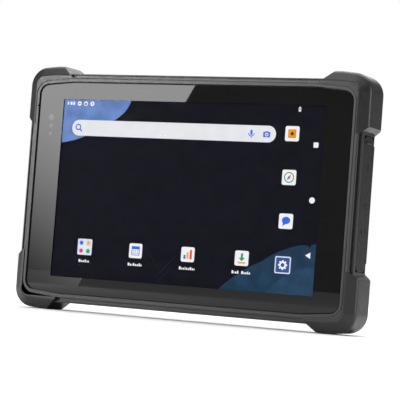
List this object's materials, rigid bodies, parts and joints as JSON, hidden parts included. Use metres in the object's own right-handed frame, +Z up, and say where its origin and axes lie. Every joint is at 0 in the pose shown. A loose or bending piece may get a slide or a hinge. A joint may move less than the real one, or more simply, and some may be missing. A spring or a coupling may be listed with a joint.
{
  "type": "rugged tablet data collector",
  "caption": "Rugged tablet data collector with corner bumpers, a hinged port cover and sprung side keys.",
  "frame": {"origin": "middle of the footprint, on the surface that the tablet stands on", "axes": "+X along the width, to the right as the screen is looked at; +Z up; the screen faces -Y"},
  "size_m": [0.224, 0.024, 0.1484],
  "materials": {
    "front_glass": "polished black border round a clear window",
    "bezel_plastic": "fine matt texture",
    "bumper_rubber": "soft matt, fine grain",
    "housing_plastic": "fine spark texture",
    "port_rubber": "soft matt",
    "key_rubber": "soft matt",
    "seal_rubber": "soft",
    "clear_bond": "clear",
    "display": "lit picture",
    "diffuser": "white",
    "chassis_metal": "as cast",
    "shield_metal": "tinned",
    "dark_steel": "black zinc",
    "brass": "turned",
    "circuit_board": "solder resist",
    "chip_black": "moulded",
    "flex_film": "film",
    "ceramic": "fired",
    "battery_case": "wrapped aluminium case",
    "ring_metal": "satin black",
    "lens_glass": "polished",
    "flash_lens": "moulded lens"
  },
  "bodies": {
    "tablet": {"cover_glass": "front_glass", "front_bezel": "bezel_plastic", "bumper_top_left": "bumper_rubber", "bumper_top_right": "bumper_rubber", "bumper_bottom_left": "bumper_rubber", "bumper_bottom_right": "bumper_rubber", "rear_housing": "housing_plastic", "battery_cover": "housing_plastic", "dock_connector": "housing_plastic", "rear_camera_module": "housing_plastic", "front_camera": "housing_plastic", "front_sensors": "housing_plastic", "front_microphone": "housing_plastic", "speaker_left": "housing_plastic", "speaker_right": "housing_plastic", "port_cover_anchor": "port_rubber", "housing_gasket": "seal_rubber", "battery_cover_gasket": "seal_rubber", "glass_tape": "seal_rubber", "optical_bond": "clear_bond", "lcd_panel": "display", "backlight_unit": "diffuser", "mid_chassis": "chassis_metal", "board_shields": "shield_metal", "usb_socket": "shield_metal", "card_socket": "shield_metal", "vibration_motor": "shield_metal", "key_domes": "shield_metal", "housing_screws": "dark_steel", "battery_cover_screws": "dark_steel", "board_screws": "dark_steel", "speaker_meshes": "dark_steel", "strap_inserts": "brass", "dock_contacts": "brass", "nfc_coil": "brass", "main_board": "circuit_board", "key_board": "circuit_board", "board_chips": "chip_black", "audio_socket": "chip_black", "display_flex": "flex_film", "wifi_antenna": "flex_film", "cellular_antenna": "flex_film", "gnss_antenna": "ceramic", "battery_pack": "battery_case", "rear_camera_ring": "ring_metal", "rear_camera_window": "lens_glass", "flash_window": "flash_lens"},
    "port_cover": {"port_cover": "port_rubber"},
    "power_key": {"power_key": "key_rubber"},
    "volume_up_key": {"volume_up_key": "key_rubber"},
    "volume_down_key": {"volume_down_key": "key_rubber"},
    "function_key": {"function_key": "key_rubber"}
  },
  "joints": [
    {"name": "port_cover_swing", "type": "hinge", "parent": "tablet", "child": "port_cover", "pos_m": [0.1091, 0.00855, 0.0742], "axis": [0, 0, 1], "range_deg": [0, 110]},
    {"name": "power_key_press", "type": "slide", "parent": "tablet", "child": "power_key", "axis": [0, 0, -1], "range_m": [0, 0.0005], "stiffness_N_per_m": 2000, "springref_m": -0.0001},
    {"name": "volume_up_key_press", "type": "slide", "parent": "tablet", "child": "volume_up_key", "axis": [0, 0, -1], "range_m": [0, 0.0005], "stiffness_N_per_m": 2000, "springref_m": -0.0001},
    {"name": "volume_down_key_press", "type": "slide", "parent": "tablet", "child": "volume_down_key", "axis": [0, 0, -1], "range_m": [0, 0.0005], "stiffness_N_per_m": 2000, "springref_m": -0.0001},
    {"name": "function_key_press", "type": "slide", "parent": "tablet", "child": "function_key", "axis": [0, 0, -1], "range_m": [0, 0.0005], "stiffness_N_per_m": 2000, "springref_m": -0.0001}
  ]
}
